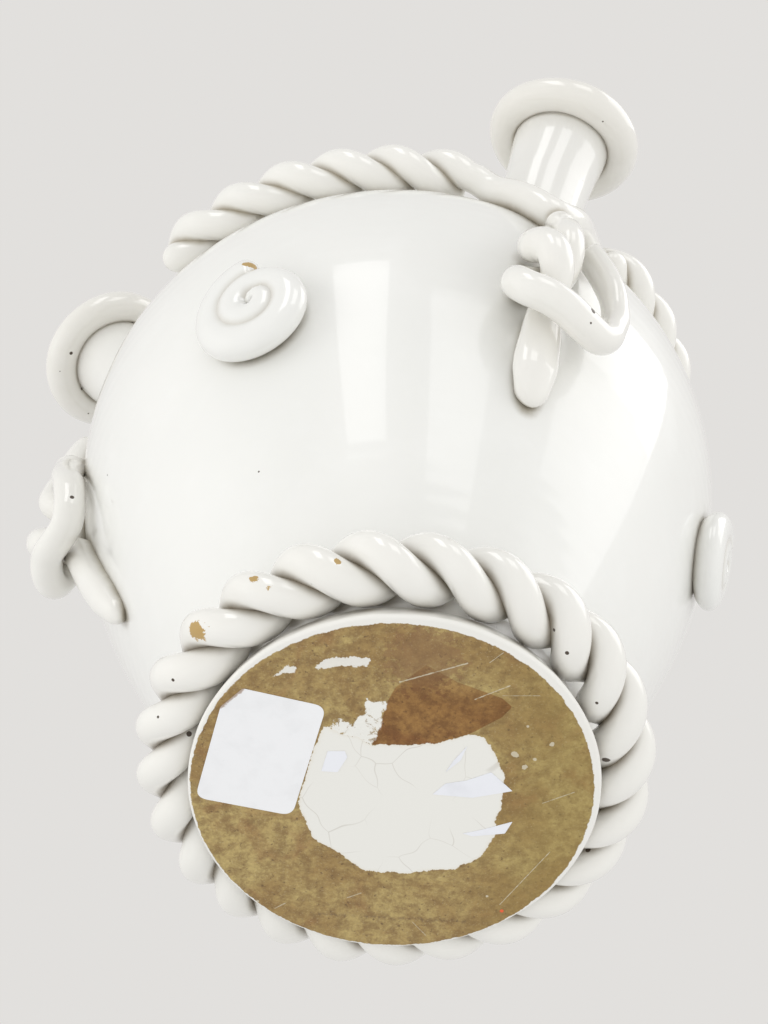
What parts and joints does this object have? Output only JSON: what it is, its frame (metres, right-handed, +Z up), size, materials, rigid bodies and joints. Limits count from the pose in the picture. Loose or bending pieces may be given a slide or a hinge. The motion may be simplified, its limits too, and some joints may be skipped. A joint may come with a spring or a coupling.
{
  "type": "four-mouthed vase",
  "caption": "Round white glazed pottery vase on a low foot, with a central neck, slanted outer necks with rolled rims, twisted clay ropes round foot and shoulder, knots and coiled spirals.",
  "frame": {"origin": "centre of the foot's flat underside, on the surface that the vase stands on", "axes": "+Z up along the body's axis; the outer mouths lean out towards -X and towards 60 degrees either side of +X"},
  "size_m": [0.275, 0.2742, 0.3274],
  "materials": {
    "foot": "unglazed ochre-brown clay underneath, with a white glazed patch; glazed wall above",
    "body": "clear gloss glaze over white, slightly uneven",
    "central_neck": "clear gloss glaze over white, slightly uneven",
    "central_rim": "clear gloss glaze over white, slightly uneven",
    "outer_neck_1": "clear gloss glaze over white, slightly uneven",
    "outer_rim_1": "clear gloss glaze over white, slightly uneven",
    "outer_neck_2": "clear gloss glaze over white, slightly uneven",
    "outer_rim_2": "clear gloss glaze over white, slightly uneven",
    "outer_neck_3": "clear gloss glaze over white, slightly uneven",
    "outer_rim_3": "clear gloss glaze over white, slightly uneven",
    "foot_rope_strand_1": "clear gloss glaze over white, pooled a little darker in the grooves, small chips on ridges",
    "foot_rope_strand_2": "clear gloss glaze over white, pooled a little darker in the grooves, small chips on ridges",
    "shoulder_rope_long_strand_1": "clear gloss glaze over white, pooled a little darker in the grooves, small chips on ridges",
    "shoulder_rope_short_strand_1": "clear gloss glaze over white, pooled a little darker in the grooves, small chips on ridges",
    "shoulder_rope_long_strand_2": "clear gloss glaze over white, pooled a little darker in the grooves, small chips on ridges",
    "shoulder_rope_short_strand_2": "clear gloss glaze over white, pooled a little darker in the grooves, small chips on ridges",
    "shoulder_rope_long_strand_3": "clear gloss glaze over white, pooled a little darker in the grooves, small chips on ridges",
    "shoulder_rope_short_strand_3": "clear gloss glaze over white, pooled a little darker in the grooves, small chips on ridges",
    "knot_loop_strand_1": "clear gloss glaze over white, pooled a little darker in the grooves, small chips on ridges",
    "knot_tail_strand_1": "clear gloss glaze over white, pooled a little darker in the grooves, small chips on ridges",
    "knot_loop_strand_2": "clear gloss glaze over white, pooled a little darker in the grooves, small chips on ridges",
    "knot_tail_strand_2": "clear gloss glaze over white, pooled a little darker in the grooves, small chips on ridges",
    "knot_loop_strand_3": "clear gloss glaze over white, pooled a little darker in the grooves, small chips on ridges",
    "knot_tail_strand_3": "clear gloss glaze over white, pooled a little darker in the grooves, small chips on ridges",
    "spiral_1": "clear gloss glaze over white, pooled a little darker in the grooves, small chips on ridges",
    "spiral_2": "clear gloss glaze over white, pooled a little darker in the grooves, small chips on ridges",
    "spiral_3": "clear gloss glaze over white, pooled a little darker in the grooves, small chips on ridges"
  },
  "bodies": {
    "root": {"foot": "foot", "body": "body", "central_neck": "central_neck", "central_rim": "central_rim", "outer_neck_1": "outer_neck_1", "outer_rim_1": "outer_rim_1", "outer_neck_2": "outer_neck_2", "outer_rim_2": "outer_rim_2", "outer_neck_3": "outer_neck_3", "outer_rim_3": "outer_rim_3", "foot_rope_strand_1": "foot_rope_strand_1", "foot_rope_strand_2": "foot_rope_strand_2", "shoulder_rope_long_strand_1": "shoulder_rope_long_strand_1", "shoulder_rope_short_strand_1": "shoulder_rope_short_strand_1", "shoulder_rope_long_strand_2": "shoulder_rope_long_strand_2", "shoulder_rope_short_strand_2": "shoulder_rope_short_strand_2", "shoulder_rope_long_strand_3": "shoulder_rope_long_strand_3", "shoulder_rope_short_strand_3": "shoulder_rope_short_strand_3", "knot_loop_strand_1": "knot_loop_strand_1", "knot_tail_strand_1": "knot_tail_strand_1", "knot_loop_strand_2": "knot_loop_strand_2", "knot_tail_strand_2": "knot_tail_strand_2", "knot_loop_strand_3": "knot_loop_strand_3", "knot_tail_strand_3": "knot_tail_strand_3", "spiral_1": "spiral_1", "spiral_2": "spiral_2", "spiral_3": "spiral_3"}
  },
  "joints": []
}
